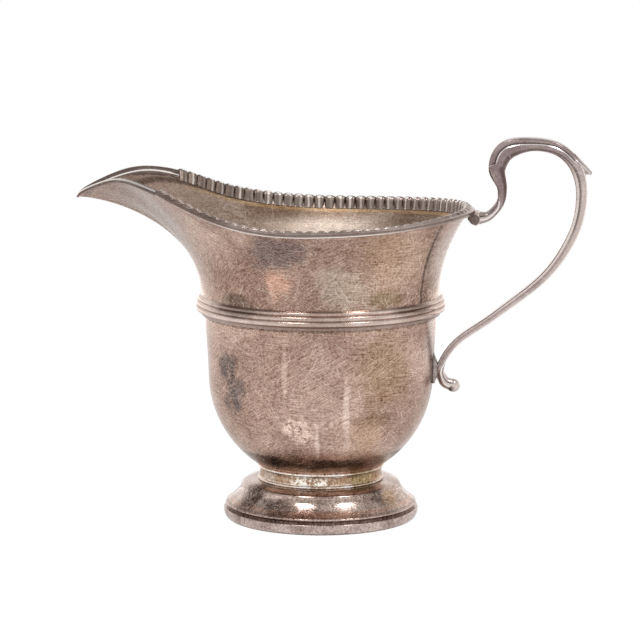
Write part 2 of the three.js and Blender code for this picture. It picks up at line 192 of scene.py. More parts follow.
def settle(piece, node, finishes, angle=32):
    for number, finish in enumerate(finishes):
        if number < len(piece.data.materials):
            piece.data.materials[number] = finish
        else:
            piece.data.materials.append(finish)
    choose(piece)
    bpy.ops.object.shade_smooth_by_angle(angle=math.radians(angle))
    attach(piece, "root")
    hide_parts(node)
    print("made", piece.name, len(piece.data.polygons), "faces")


# ways of finishing

class Signal:
    def __init__(self, graph, socket):
        self.graph, self.socket = graph, socket

    def other(self, output):
        return Signal(self.graph, self.socket.node.outputs[output])

    def __add__(self, value):
        return self.graph.sum("ADD", self, value)

    def __sub__(self, value):
        return self.graph.sum("SUBTRACT", self, value)

    def __rsub__(self, value):
        return self.graph.sum("SUBTRACT", value, self)

    def __mul__(self, value):
        return self.graph.sum("MULTIPLY", self, value)

    def __abs__(self):
        return self.graph.sum("ABSOLUTE", self)

    __radd__, __rmul__ = __add__, __mul__


class Graph:
    def __init__(self, tree):
        self.tree = tree
        tree.nodes.clear()

    def add(self, kind, settings, inputs, output=0):
        node = self.tree.nodes.new(kind)
        for setting, value in settings.items():
            setattr(node, setting, value)
        for name, value in inputs.items():
            if isinstance(value, Signal):
                self.tree.links.new(value.socket, node.inputs[name])
            else:
                node.inputs[name].default_value = value
        return Signal(self, node.outputs[output]) if len(node.outputs) else None

    def sum(self, operation, *values):
        return self.add("ShaderNodeMath", {"operation": operation}, dict(enumerate(values)))

    def vector(self, operation, first, second):
        return self.add("ShaderNodeVectorMath", {"operation": operation}, {0: first, 1: second})

    def grown(self, colour, value):
        return self.add("ShaderNodeVectorMath", {"operation": "SCALE"}, {0: colour, "Scale": value})

    def apart(self, vector):
        x = self.add("ShaderNodeSeparateXYZ", {}, {0: vector})
        return x, x.other(1), x.other(2)

    def fade(self, value, start, end, low=0.0, high=1.0):
        return self.add("ShaderNodeMapRange", {"interpolation_type": "SMOOTHSTEP"},
                        {"Value": value, "From Min": start, "From Max": end, "To Min": low, "To Max": high})

    def noise(self, place, scale, detail=3.0, roughness=0.55, distortion=0.0):
        return self.add("ShaderNodeTexNoise", {}, {
            "Vector": place, "Scale": scale, "Detail": detail, "Roughness": roughness, "Distortion": distortion})

    def blend(self, mask, first, second):
        return self.add("ShaderNodeMix", {"data_type": "RGBA"}, {0: mask, 6: first, 7: second}, 2)


# a screen colour, 0 to 255, as the linear one that a shader takes
def tone(red, green, blue):
    linear = []
    for part in (red, green, blue):
        part /= 255
        linear.append(part/12.92 if part < 0.04045 else ((part + 0.055)/1.055)**2.4)
    return (*linear, 1.0)


# the surface so far, on which marks are laid one over the other
class Coat:
    def __init__(self, graph, colour, rough):
        self.graph, self.colour, self.rough, self.metal = graph, colour, rough, 1.0

    def mark(self, mask, colour, rough=0.0, dull=0.0):
        self.colour = self.graph.blend(mask, self.colour, tone(*colour))
        if rough:
            self.rough = self.rough + mask*rough
        if dull:
            self.metal = self.metal - mask*dull


# Short scratches, one at most in each cell of the map, each with its own direction and bend.
def scratchMask(graph, surface, cell, width, reach, share, curl, shift=0.0):
    place = graph.add("ShaderNodeVectorMath", {"operation": "MULTIPLY_ADD"},
                      {0: surface, 1: (mapUnit/cell,)*3, 2: (shift, shift, 0)})
    nearest = graph.add("ShaderNodeTexVoronoi", {"voronoi_dimensions": "2D"},
                        {"Vector": place, "Scale": 1.0}, "Position")
    x, y, unused = graph.apart(graph.vector("SUBTRACT", place, nearest))
    red = graph.add("ShaderNodeSeparateColor", {}, {0: nearest.other("Color")})
    angle = red*6.28
    cosine, sine = graph.sum("COSINE", angle), graph.sum("SINE", angle)
    along = x*cosine + y*sine
    across = y*cosine - x*sine + (red.other(1) - 0.5)*curl*along*along
    line = graph.fade(abs(across), width/cell, width/cell*0.3)
    length = graph.fade(abs(along), reach, reach*0.6)
    return line*length*graph.fade(red.other(2), 1 - share, 1 - share*0.7)


# Rubbing marks: noise drawn out along one direction of the map, sizes in mm.
def rubbing(graph, surface, turn, long, thin=0.24):
    place = graph.add("ShaderNodeMapping", {}, {"Vector": surface, "Rotation": (0, 0, math.radians(turn))})
    place = graph.vector("MULTIPLY", place, (mapUnit/long, mapUnit/thin, 1))
    return graph.add("ShaderNodeTexNoise", {"noise_dimensions": "2D"}, {
        "Vector": place, "Scale": 1.0, "Detail": 2.0, "Roughness": 0.6})


# a spot round a place in mm from the axis, a band at a height, an upright line at an angle round the axis, or a line on
# a row of a net;
# stains and wear are drawn with it, and so are painted highlights, reflections and shade; its size is the spot's radius
# or half the line's width
def mark(at, size, colour, amount, **more):
    return {"at": at, "size": size, "tone": colour, "amount": amount, **more}


# scratches: cell and width in mm, half length in cells, share of the cells, curl, shift of the net
fineScratches = [(9, 0.12, 0.44, 0.45, 0.6), (4.2, 0.13, 0.42, 0.55, 1.4, 3.3), (2.1, 0.13, 0.42, 0.4, 3.0, 7.1)]
shortScratches = [(4, 0.11, 0.42, 0.5, 1.0), (2, 0.1, 0.4, 0.35, 3.0, 5.2)]
# what a finish has where a piece's own look says nothing else
plate = {
    # scale, detail and roughness of its noises
    "wander": (130, 5, 0.66), "patch": (90, 3, 0.6), "fine": (2100, 1.5, 0.6), "coarse": (950, 3, 0.7),
    "cloud": 48, "specks": 0.3, "speckTone": (96, 74, 62), "grain": 1.0, "grainTone": (0.13, 0.125, 0.12),
    "bump": 0.1, "bumpDistance": 0.0003, "scratchAmount": 0.5, "scratchTone": (230, 214, 202), "leastRough": 0.1,
    "edge": (0.86, 0.84, 0.83, 1),      # dulled where it turns away
    "bands": (), "stains": (), "uprights": (), "lines": (), "scratches": shortScratches,
}
# a painted highlight streak and a painted highlight crown on each lobe of the border, and dark valleys; rows are those
# of its net
lobeMarks = {
    "streakHighlightTone": (226, 214, 205), "streakPlace": 0.28, "streakStray": 0.3, "streakRows": (12, 16),
    "crownHighlightTone": (244, 238, 233), "crownRow": 14.2,
    "valleyTone": (76, 62, 54), "valleyRows": (9, 13), "valleyAmount": 0.2,
}


# Old silver plate: clouded tones, fine grain, worn and tarnished places, painted highlights, reflections and shade
# where a look lists them, and scratches.
def plateFinish(name, ownLook):
    look = {**plate, **ownLook}
    material = bpy.data.materials.new(name)
    material.use_nodes = True
    graph = Graph(material.node_tree)
    place = graph.add("ShaderNodeTexCoord", {}, {}, "Object")
    surface = place.other("UV")
    x, y, z = graph.apart(place)
    along, upright, unused = graph.apart(surface)
    wander, patch, fine, coarse = [graph.noise(place, *look[kind]) for kind in ("wander", "patch", "fine", "coarse")]
    cloud = graph.noise(place, look["cloud"], 5, 0.62, 0.5)
    clouded = graph.blend(graph.fade(cloud, 0.36, 0.64), tone(*look["dark"]), tone(*look["pale"]))
    coat = Coat(graph, clouded, look["rough"] + (cloud - 0.5)*0.2)
    for band in look["bands"]:
        size = band["size"]*mm
        off = abs(z - band["at"]*mm) + (wander - 0.5)*(band.get("wander", 0.9)*size)
        mask = graph.fade(off, size, size*0.45)*band["amount"]
        if "patchy" in band:
            mask = mask*graph.fade(patch + (coarse - 0.5)*0.5, 0.4, 0.58, 1 - band["patchy"], 1.0)
        coat.mark(mask, band["tone"], band.get("rough", 0.1))
    # spots: real stains, and also painted highlights, reflections and shade where a look lists them
    for spot in look["stains"]:
        size = spot["size"]*mm
        centre = Vector((spot["at"][0] + axisX, *spot["at"][1:]))*mm
        offset = graph.vector("MULTIPLY", graph.vector("SUBTRACT", place, centre), spot.get("spread", (1, 1, 1)))
        off = graph.add("ShaderNodeVectorMath", {"operation": "LENGTH"}, {0: offset}, 1)
        off = off + (wander - 0.5)*(size*spot.get("wander", 2.6))
        mask = graph.fade(off, size, size*spot.get("core", 0.3))*spot["amount"]
        if "broken" in spot:
            mask = mask*graph.fade(coarse + patch*0.6, 0.78 - spot["broken"], 0.92 - spot["broken"])
        coat.mark(mask, spot["tone"], spot.get("rough", 0.05))
    for line in look["uprights"]:
        size, turn = line["size"]*mm, math.radians(line["at"])
        off = abs((x - axisX*mm)*math.sin(turn) - y*math.cos(turn)) + (wander - 0.5)*size
        coat.mark(graph.fade(off, size, size*0.3)*graph.fade(x, 0.0, 0.004)*line["amount"], line["tone"])
    if "rows" in look:         # row of the net on which a point lies
        rows, width = look["rows"]
        row = upright*(mapUnit*rows/width)
        if look.get("mirrored"):
            row = rows/2 - abs(row - rows/2)
    for line in look["lines"]:
        mask = graph.fade(abs(row - line["at"]), line["size"], line["size"]*0.4)*line["amount"]
        if "begin" in line:
            mask = mask*graph.fade(along*mapUnit, *line["begin"])
        if "until" in line:
            mask = mask*graph.fade(along*mapUnit, *line["until"][::-1])
        coat.mark(mask, line["tone"], dull=line.get("dull", 0.0))
    if "lobes" in look:        # length of a lobe along the map, mm
        lobe = along*(mapUnit/look["lobes"])
        phase = graph.sum("FRACT", lobe)
        chance = graph.add("ShaderNodeTexWhiteNoise", {"noise_dimensions": "1D"}, {"W": graph.sum("FLOOR", lobe)})
        stray = chance*lobeMarks["streakStray"]
        # painted highlight: a pale streak down each lobe, made bright by less metal
        highlightStreak = graph.fade(abs(phase - lobeMarks["streakPlace"] - stray + (wander - 0.5)*0.5), 0.15, 0.04)
        highlightStreak = highlightStreak*graph.fade(row, *lobeMarks["streakRows"])*graph.fade(chance, 0.1, 0.7, 0.2, 0.85)
        coat.mark(highlightStreak, lobeMarks["streakHighlightTone"], dull=0.4)
        # painted highlight: a bright crown near the top of each lobe, made bright by less metal
        crown = graph.fade(abs(row - lobeMarks["crownRow"]), 2.0, 0.8)*graph.fade(abs(phase - 0.5), 0.3, 0.12)
        coat.mark(crown, lobeMarks["crownHighlightTone"], dull=0.9)
        valley = graph.fade(abs(phase - 0.5), 0.41, 0.5)*graph.fade(row, *lobeMarks["valleyRows"])
        coat.mark(valley*lobeMarks["valleyAmount"], lobeMarks["valleyTone"], 0.2)
    if "rubbed" in look:
        sideways = rubbing(graph, surface, look["rubbed"][0], 4.5)
        slanting = rubbing(graph, surface, look["rubbed"][1], 3.5)
        choice = graph.fade(patch, 0.42, 0.58)
        strokes = (sideways - 0.5)*choice + (slanting - 0.5)*(1 - choice)
        grain = (fine - 0.5)*2.0 + (coarse - 0.5)*1.1 + strokes*2.0
    else:
        grain = (fine - 0.5)*2.6 + (coarse - 0.5)*1.7
    strength = grain*look["grain"]
    grained = graph.grown(coat.colour, 1 + strength*0.5)
    coat.colour = graph.vector("ADD", grained, graph.grown(look["grainTone"], strength))
    coat.mark(graph.fade(coarse, 0.6, 0.72)*look["specks"], look["speckTone"])
    height = grain*0.8 + wander*0.7
    masks = [scratchMask(graph, surface, *scratch) for scratch in look["scratches"]]
    if masks:
        marks = masks[0]
        for mask in masks[1:]:
            marks = graph.sum("MAXIMUM", marks, mask)
        marks = marks*graph.fade(patch, 0.3, 0.6, 0.3, 1.0)
        coat.mark(marks*look["scratchAmount"], look["scratchTone"])
        coat.rough = coat.rough - marks*0.05
        height = height - marks*0.2
    rough = coat.rough + strength*0.09
    bump = graph.add("ShaderNodeBump", {}, {
        "Height": height, "Strength": look["bump"], "Distance": look["bumpDistance"]})
    shader = graph.add("ShaderNodeBsdfPrincipled", {}, {
        "Base Color": coat.colour, "Roughness": graph.sum("MAXIMUM", rough, look["leastRough"]),
        "Normal": bump, "Metallic": coat.metal, "Specular Tint": look["edge"]})
    graph.add("ShaderNodeOutputMaterial", {}, {"Surface": shader})
    return material


# foot rim band
footBand = {
    "radius": 26.7, "inner": 25.28, "foot": 25.35, "height": 3.05, "edge": 0.45, "swell": (0.15, 0.3),
    "look": dict(
        dark=(152, 133, 126), pale=(190, 172, 165), rough=0.24, specks=0.4, bump=0.03, grain=0.9,
        speckTone=(98, 82, 76), cloud=110,
        bands=[mark(0.1, 0.6, (96, 84, 78), 0.6)]),
}
edge, edgeFoot = footBand["edge"], footBand["height"] - footBand["edge"]
radius, inner, swell = footBand["radius"], footBand["inner"], footBand["swell"]
bandProfile = [(inner, 0)]
bandProfile += bentPoints((footBand["foot"], 0), (radius - swell[0], swell[1]), (radius, edgeFoot), 12)
bandProfile += arcPoints((radius - edge, edgeFoot), (edge, edge), 8, 86, 8)
bandProfile += [(inner, footBand["height"]), (inner, 0)]
piece = turnedPiece("footRimBand", bandProfile)
settle(piece, "foot_rim_band", [plateFinish("bandPlate", footBand["look"])])


# foot: a hollow over the band, a bead, a full step, a hollow and a low dome
footDome = {
    "skirt": 25.25, "lift": 0.4, "grooveFoot": 3.05, "grooveTop": 3.9, "bead": 0.34, "beadRadius": 26.2,
    "stepFoot": (25.9, 4.62), "stepSwell": (23.9, 6.0), "stepTop": (22.45, 7.9), "hollow": (22.0, 8.5),
    "domeFoot": (21.8, 9.2), "domeTop": 10.85, "domeShoulder": 17.4, "opening": 14.9,
    "look": dict(
        dark=(154, 132, 121), pale=(192, 172, 162), rough=0.17, specks=0.5, cloud=120, bump=0.03,
        bands=[
            mark(3.4, 0.5, (84, 72, 68), 0.6, rough=0.2),
            mark(4.8, 0.2, (110, 92, 84), 0.4),
            # painted glint: a warm pale band on the lower part of the step
            mark(5.6, 0.5, (200, 152, 124), 0.35)],
        stains=[
            mark((-16, -14, 8.8), 6, (70, 56, 50), 0.9, spread=(0.7, 1, 1), broken=0.12),
            mark((-11, -22, 6), 5, (82, 68, 62), 0.8, broken=0.1),
            mark((16, -14, 9.4), 5, (78, 62, 54), 0.85, broken=0.12),
            mark((19, -12, 8), 4, (196, 160, 124), 0.5),
            mark((-20, -6, 8), 6, (206, 194, 186), 0.5)]),
}
skirt, lift, grooveTop, bead = (footDome[key] for key in ("skirt", "lift", "grooveTop", "bead"))
domeTop, shoulder, opening = (footDome[key] for key in ("domeTop", "domeShoulder", "opening"))
domeRadius, domeFoot = footDome["domeFoot"]
inner, beadMiddle = skirt - sheet, footDome["beadRadius"] - bead
footProfile = [(skirt, lift)]
footProfile += bentPoints((skirt, footDome["grooveFoot"]), (skirt, grooveTop - 0.05), (beadMiddle - 0.05, grooveTop), 8)
footProfile += arcPoints((beadMiddle, grooveTop + bead), (bead, bead), -80, 70, 10)
footProfile += bentPoints(footDome["stepFoot"], footDome["stepSwell"], footDome["stepTop"], 12)
footProfile += bentPoints(footDome["stepTop"], footDome["hollow"], footDome["domeFoot"], 8)[1:]
footProfile += arcPoints((shoulder, domeFoot), (domeRadius - shoulder, domeTop - domeFoot), 4, 90, 14)
footProfile += [(opening, domeTop), (opening, domeTop - sheet)]
footProfile += arcPoints((shoulder, domeFoot - sheet), (domeRadius - shoulder - sheet, domeTop - domeFoot), 90, 0, 10)
footProfile += bentPoints((domeRadius - sheet, domeFoot - sheet - 0.3), (inner, grooveTop + 2.5), (inner, lift), 10)
footProfile += [footProfile[0]]
piece = turnedPiece("footShell", footProfile)
settle(piece, "foot", [plateFinish("footPlate", footDome["look"])])


# collar: a hollowed drum between two beads
footCollar = {
    "radius": 16.9, "inner": 15.4, "bottom": 10.75, "top": 15.0, "bead": 0.42, "hollow": 0.25,
    "look": dict(
        dark=(196, 176, 160), pale=(232, 218, 206), rough=0.18, cloud=110, speckTone=(238, 224, 206), bump=0.03,
        bands=[mark(12.9, 1.7, (158, 124, 94), 0.9, wander=0.5)],
        stains=[
            mark((12, -12, 12.9), 5, (142, 126, 88), 0.6),
            mark((-2, -17, 12.9), 9, (252, 244, 232), 0.95, broken=0.04, wander=0.8),
            # painted highlights: near-white spots on the upper and lower beads
            *[mark(at, size, (255, 253, 250), 0.9, spread=(1, 1, 2.6), wander=0.8) for at, size in (
                ((-3.2, -16.9, 14.6), 2.8), ((5.6, -16.2, 14.6), 2.6),
                ((-3.4, -17, 11.2), 2.4), ((8.2, -15, 11.2), 2.2))],
            mark((-13, -11, 12.9), 5, (206, 194, 184), 0.5)]),
}
radius, inner, bead = (footCollar[key] for key in ("radius", "inner", "bead"))
bottom, top = footCollar["bottom"], footCollar["top"]
collarProfile = [(inner, bottom)]
collarProfile += arcPoints((radius, bottom + bead), (bead, bead), -85, 75, 8)
collarProfile += bentPoints((radius, bottom + 2*bead + 0.05), (radius - 2*footCollar["hollow"], (bottom + top)/2),
                            (radius, top - 2*bead - 0.05), 8)
collarProfile += arcPoints((radius, top - bead), (bead, bead), -75, 85, 8)
collarProfile += [(inner + 0.9, top - 0.1), (inner, top - 1.3), collarProfile[0]]
piece = turnedPiece("footCollarRing", collarProfile)
settle(piece, "foot_collar", [plateFinish("collarPlate", footCollar["look"])])


# bowl: half an ellipsoid and a slightly opening wall
goldLook = dict(
    dark=(138, 117, 103), pale=(180, 160, 144), rough=0.38, specks=0.2, cloud=40, rubbed=(3, -30), bump=0.02,
    speckTone=(122, 96, 74), scratches=fineScratches, scratchAmount=0.3, grain=0.8,
    stains=[
        # painted shade: the inside wall made darker on the far right
        mark((26, 24, 79), 16, (104, 84, 70), 0.7, wander=1.0),
        mark((-14, 33, 79), 14, (130, 108, 90), 0.8, wander=1.2, rough=0.3),
        # painted highlight: a tall pale patch on the far inside wall
        mark((-3, 35, 73), 15, (232, 214, 200), 0.8, spread=(0.55, 1, 1.5), wander=1.0),
        mark((-4, 37, 80.4), 15, (124, 99, 81), 0.75, spread=(0.5, 1, 3.4), wander=0.8),
        mark((-42, 10, 87), 16, (176, 150, 137), 0.75, wander=1.2)])
goldPlate = plateFinish("goldPlate", goldLook)
bowl = {
    "shoulder": 39.945, "depth": 30, "belly": 30.7, "radius": 31.7, "wallTop": 56.6, "lapTop": 61.2,
    "wallSteps": 10, "wallBend": 1.25,
    "look": dict(
        dark=(156, 128, 115), pale=(190, 162, 148), rough=0.2, rubbed=(-38, 4), speckTone=(122, 94, 80),
        scratches=fineScratches, scratchAmount=0.42,
        bands=[
            mark(18.7, 2.0, (88, 70, 58), 0.95, wander=1.2, patchy=0.65),
            mark(15.7, 1.0, (204, 166, 146), 0.6),
            # painted shade: a dark line on the bowl just under the girdle
            mark(56.4, 0.6, (64, 48, 40), 0.5)],
        stains=[
            mark((-22, -21, 43), 15, (132, 107, 97), 0.45, wander=1.4, core=0.0),
            mark((-24.5, -19, 43.5), 6, (84, 78, 78), 0.75, wander=3.4, broken=0.14),
            mark((-22, -21, 37.5), 6, (88, 82, 82), 0.75, wander=3.4, broken=0.14),
            mark((19, -25, 45), 13, (154, 126, 98), 0.65, spread=(1.1, 1, 0.8), wander=1.0, core=0.2),
            mark((-3, -26, 28.5), 6, (238, 210, 195), 0.9, broken=0.15),
            mark((4.8, -28, 31.5), 1.3, (232, 214, 202), 0.8, wander=0.8),
            # painted reflections: three tall narrow pale streaks on the bowl where the lamps show
            mark((-7.6, -30, 44), 11, (212, 186, 172), 0.6, spread=(10, 0.3, 1), wander=0.5),
            mark((8.8, -29, 33), 13, (226, 202, 190), 0.7, spread=(10, 0.3, 1), wander=0.5),
            mark((0.9, -27, 25), 7, (226, 202, 190), 0.65, spread=(8, 0.3, 1), wander=0.5),
            mark((17, -24, 31.5), 6, (118, 93, 79), 0.65, spread=(0.5, 1, 1.8)),
            mark((14, -24, 26), 11, (190, 156, 126), 0.45, core=0.0, wander=1.5),
            mark((30.5, -8.5, 51), 5, (208, 198, 191), 0.6, spread=(1, 1, 0.5), wander=0.6),
            mark((31, -2, 42), 6, (78, 62, 56), 0.75, spread=(1, 1.4, 0.8))]),
}
bowlProfile = arcPoints((0, bowl["shoulder"]), (bowl["belly"], bowl["depth"]), -90, 0, 44)
for step in range(1, bowl["wallSteps"] + 1):
    share = step/bowl["wallSteps"]
    bowlProfile.append((bowl["belly"] + (bowl["radius"] - bowl["belly"])*share**bowl["wallBend"],
                        bowl["shoulder"] + (bowl["wallTop"] - bowl["shoulder"])*share))
bowlProfile.append((bowl["radius"], bowl["lapTop"]))
piece = turnedPiece("bowlShell", bowlProfile, 240)
thicken(piece)
settle(piece, "bowl", [plateFinish("bowlPlate", bowl["look"]), goldPlate])


# girdle: a small foot and three reeds, each a little smaller than the one below
girdle = {
    "bottom": 56.6, "seat": 57.6, "slope": 0.4, "lowInner": 31.7 + seam, "highInner": 32.75 + seam,
    "foot": ((32.3, 56.6), (32.55, 56.68), (32.7, 56.85), (32.78, 57.05), (32.95, 57.3), (33.3, 57.65)),
    "reeds": ((34.15, 58.55, 0.74), (33.95, 59.9, 0.72), (33.45, 61.15, 0.55)),     # outer radius, height, size
    "reedTurn": 52,
    "look": dict(
        dark=(180, 158, 148), pale=(216, 197, 188), rough=0.22, specks=0.25, edge=(0.74, 0.71, 0.69, 1),
        bump=0.006, grain=0.3,
        bands=[
            # painted shade: a dark band under the lowest reed and a thin dark line in the groove between the lower two
            # reeds
            mark(57.3, 0.8, (112, 86, 78), 0.6, wander=0.4),
            mark(59.2, 0.2, (110, 92, 84), 0.3)],
        stains=[
            mark((-21, -26, 60.9), 12, (96, 82, 74), 0.65, spread=(1, 1, 4.5), wander=1.4),
            mark((26, -21, 60.9), 9, (108, 92, 78), 0.6, spread=(1, 1, 4), wander=1.4)]),
}
lowInner, highInner, seat, turn = (girdle[key] for key in ("lowInner", "highInner", "seat", "reedTurn"))
girdleProfile = [(lowInner, girdle["bottom"]), *girdle["foot"]]
for outer, height, reed in girdle["reeds"]:
    girdleProfile += arcPoints((outer - reed, height), (reed, reed), -turn, turn, 12)
girdleProfile += [(highInner, girdleProfile[-1][1] + girdle["slope"]), (highInner, seat), (lowInner, seat),
                  girdleProfile[0]]
piece = turnedPiece("girdleBand", girdleProfile, 240)
settle(piece, "girdle_band", [plateFinish("girdlePlate", girdle["look"])])


# upper body: every upright line of the wall bends out from the neck to the rim line of the mouth
mouth = {
    "tip": (-66.5, 0, 87.9), "tipSide": (-65.4, 2.2, 89.1),
    "spout": [(-54.5, 12.82, 93.6), (-45.02, 22.89, 92.6), (-28.18, 33.21, 86.3), (-16.97, 38.69, 83.8)],
    "front": -5, "back": 40.6, "halfWidth": 40.3, "sideHeight": 82.8, "backHeight": 85.2, "backRise": 2.5,
    "neckRadius": 32.75, "neckBottom": 57.8, "neckTop": 62.3, "bend": 1.05, "tipBend": 0.6, "tipAngle": 8,
    "columns": 260, "rows": 40, "neckRows": 2, "mapHeight": 38, "crowding": 0.75, "samples": 1600,
    "goldLines": [
        mark(26.9, 1.7, (190, 156, 110), 0.42, begin=(228, 210)),
        # painted shadow: a dark line on the inside wall under the foot of the border
        mark(28.8, 1.8, (80, 60, 48), 0.75)],
    "look": dict(
        dark=(146, 118, 105), pale=(178, 151, 137), rough=0.2, specks=0.35, rubbed=(6, -40),
        edge=(0.92, 0.9, 0.89, 1), speckTone=(108, 82, 70), scratches=fineScratches,
        lines=[mark(37.6, 1.2, (112, 96, 88), 0.5, begin=(50, 30))],
        # painted reflection: a dark upright line down the right side of the body
        uprights=[mark(-31.3, 0.8, (84, 66, 60), 0.8)],
        bands=[mark(61.8, 0.7, (84, 66, 58), 0.2)],
        stains=[
            mark((-10, -36, 78), 9, (112, 99, 98), 0.7, spread=(0.8, 0.6, 1.2)),
            mark((-8.4, -33, 69.4), 5.5, (214, 168, 146), 0.65),
            mark((9, -33, 68), 8, (184, 168, 152), 0.55, spread=(0.8, 0.6, 1)),
            mark((20, -26, 64.5), 6, (108, 92, 66), 0.6, spread=(0.6, 1, 1.8)),
            mark((-22, -26, 62.4), 6, (82, 68, 60), 0.6, spread=(0.7, 1, 1.8)),
            # painted reflection: a pale greyish strip along the right edge of the body
            mark((37, -9, 74), 14, (206, 198, 190), 0.36, wander=0.6),
            mark((22, -29, 75), 17, (188, 158, 128), 0.45, core=0.0, wander=1.4),
            # painted shade: the underside of the spout made darker and greyer
            mark((-48, -8, 82), 27, (132, 118, 110), 0.68, wander=0.8)]),
}


# smooth line through points; a closed one steps by the root of the distance, an open one evenly
def lineAt(points, share, closed=False):
    count = len(points)
    along = (count if closed else count - 1)*share
    index = min(math.floor(along), count - 1 if closed else count - 2)
    weight = along - index
    if closed:
        a, b, c, d = [points[k % count] for k in range(index - 1, index + 3)]
        first, middle, last = (b - a).length**0.5, (c - b).length**0.5, (d - c).length**0.5
        leave = ((b - a)/first - (c - a)/(first + middle) + (c - b)/middle)*middle
        arrive = ((c - b)/middle - (d - b)/(middle + last) + (d - c)/last)*middle
    else:
        a, b, c, d = [points[0]*2 - points[1], *points, points[-1]*2 - points[-2]][index:index + 4]
        leave, arrive = (c - a)/2, (d - b)/2
    return (b + leave*weight + (c*3 - b*3 - leave*2 - arrive)*weight**2
            + (b*2 - c*2 + leave + arrive)*weight**3)


halfRim = [Vector(mouth["tipSide"])] + [Vector(point) for point in mouth["spout"]]
for turn in (0, 30, 55, 75):
    across, out = math.cos(math.radians(turn)), math.sin(math.radians(turn))
    height = mouth["sideHeight"] + (mouth["backHeight"] - mouth["sideHeight"])*out**mouth["backRise"]
    halfRim.append(Vector((mouth["front"] + (mouth["back"] - mouth["front"])*out, mouth["halfWidth"]*across, height)))
rimPoints = [Vector(mouth["tip"])] + [Vector((p.x, -p.y, p.z)) for p in halfRim]
rimPoints += [Vector((mouth["back"], 0, mouth["backHeight"]))] + halfRim[::-1]
rimSamples = [lineAt(rimPoints, k/mouth["samples"], True) for k in range(mouth["samples"] + 1)]
rimWay = [0.0]
for before, after in zip(rimSamples, rimSamples[1:]):
    rimWay.append(rimWay[-1] + (after - before).length)
rimLength = rimWay[-1]


# point of the rim at a way in mm along it from the tip
def rimAt(way):
    way %= rimLength
    k = min(bisect_right(rimWay, way), mouth["samples"]) - 1
    share = (way - rimWay[k])/(rimWay[k + 1] - rimWay[k])
    return lineAt(rimPoints, min((k + share)/mouth["samples"], 0.999999), True)


def wallPoint(way, rise):
    rim = rimAt(way)
    turn = math.atan2(rim.y, rim.x)
    fromSpout = (math.pi - abs(turn))/math.radians(mouth["tipAngle"])
    bend = mouth["bend"] + (mouth["tipBend"] - mouth["bend"])*math.exp(-fromSpout*fromSpout)
    flare = 1 - max(1 - rise*rise, 0)**bend
    radius = mouth["neckRadius"] + (math.hypot(rim.x, rim.y) - mouth["neckRadius"])*flare
    height = mouth["neckTop"] + (rim.z - mouth["neckTop"])*rise
    return Vector((radius*math.cos(turn), radius*math.sin(turn), height))


# columns stand closer together at the tip
bodyWays = []
for k in range(mouth["columns"] + 1):
    share = k/mouth["columns"]
    bodyWays.append((share - mouth["crowding"]*math.sin(2*math.pi*share)/(2*math.pi))*rimLength % rimLength)


def bodyPoint(column, row):
    neckRows = mouth["neckRows"]
    if row < neckRows:
        point = wallPoint(bodyWays[column], 0)
        point.z = mouth["neckBottom"] + (mouth["neckTop"] - mouth["neckBottom"])*row/neckRows
        return point
    return wallPoint(bodyWays[column], math.sin(math.pi/2*(row - neckRows)/(mouth["rows"] - neckRows)))


piece = laidPiece("upperBodyShell", mouth["columns"], mouth["rows"], bodyPoint, (rimLength, mouth["mapHeight"]))
thicken(piece)
mouth["look"]["rows"] = (mouth["rows"], mouth["mapHeight"])
goldRimLook = {**goldLook, "rows": mouth["look"]["rows"], "lines": mouth["goldLines"]}
finishes = [plateFinish("bodyPlate", mouth["look"]), plateFinish("goldRimPlate", goldRimLook)]
settle(piece, "upper_body", finishes)


# moulding on the rim: a rounded top, a straight inner face, a rounded foot, and a small lap over the outside
moulding = {
    "height": 2.7, "longestLeg": 3.9, "top": 1.0, "bulge": 1.05, "footBulge": 0.16, "upper": 1.4, "lower": 0.16,
    "topFrom": 76, "topSteps": 10, "faceSteps": 10, "footSteps": 8, "span": 0.5, "legStep": 0.002,
    "edge": ((0.0, -0.6), (0.16, -0.55), (0.27, -0.38), (0.27, -0.16), (0.12, 0.0), (0.05, 0.3), (-0.1, 0.75)),
}


def rimFrame(way):
    origin = wallPoint(way, 1)
    along = (wallPoint(way + moulding["span"], 1) - wallPoint(way - moulding["span"], 1)).normalized()
    rise, leg, chord = 1.0, 0.0, origin
    while origin.z - chord.z < moulding["height"] and leg < moulding["longestLeg"]:
        rise -= moulding["legStep"]
        chord = wallPoint(way, rise)
        leg = (chord - origin).length
    out = along.cross(origin - chord).normalized()
    return origin, out, out.cross(along).normalized(), leg


# sink takes the place on the face, 0 at the top to 1 at the foot, and gives how far it lies in
def mouldingSection(way, share, sink, point=0.0):
    origin, out, up, leg = rimFrame(way)
    seat = -sheet - seam
    bulge, upper, lower = moulding["bulge"]*share, moulding["upper"]*share, moulding["lower"]*share
    top, bottom = moulding["top"]*share, -leg*share
    footBulge, faceTop, faceFoot = moulding["footBulge"]*share, top - upper, bottom + lower
    face = []         # place and direction of each point

    def addArc(start, end, steps, wide, tall, height):
        for x, y in arcPoints((0, 0), (1, 1), start, end, steps):
            face.append((seat + wide*x, height + tall*y, x/wide, y/tall))

    addArc(moulding["topFrom"], 180, moulding["topSteps"], bulge, upper, faceTop)
    for step in range(1, moulding["faceSteps"]):
        down = step/moulding["faceSteps"]
        face.append((seat - bulge + (bulge - footBulge)*down, faceTop + (faceFoot - faceTop)*down, -1, -0.2))
    addArc(180, 270, moulding["footSteps"], footBulge, lower, faceFoot)
    outline = [(x*share + point, y*share) for x, y in moulding["edge"]]
    for k, (x, y, normalX, normalY) in enumerate(face):
        depth = sink(k/(len(face) - 1))/math.hypot(normalX, normalY)
        outline.append((x - normalX*depth + point*max(1 - k/6, 0), y - normalY*depth))
    outline += [(seat, seam), (0.0, seam)]
    outline.append(outline[0])
    return [origin + out*x + up*y for x, y in outline]


def faded(value, start, end):
    share = min(max((value - start)/(end - start), 0), 1)
    return share*share*(3 - 2*share)


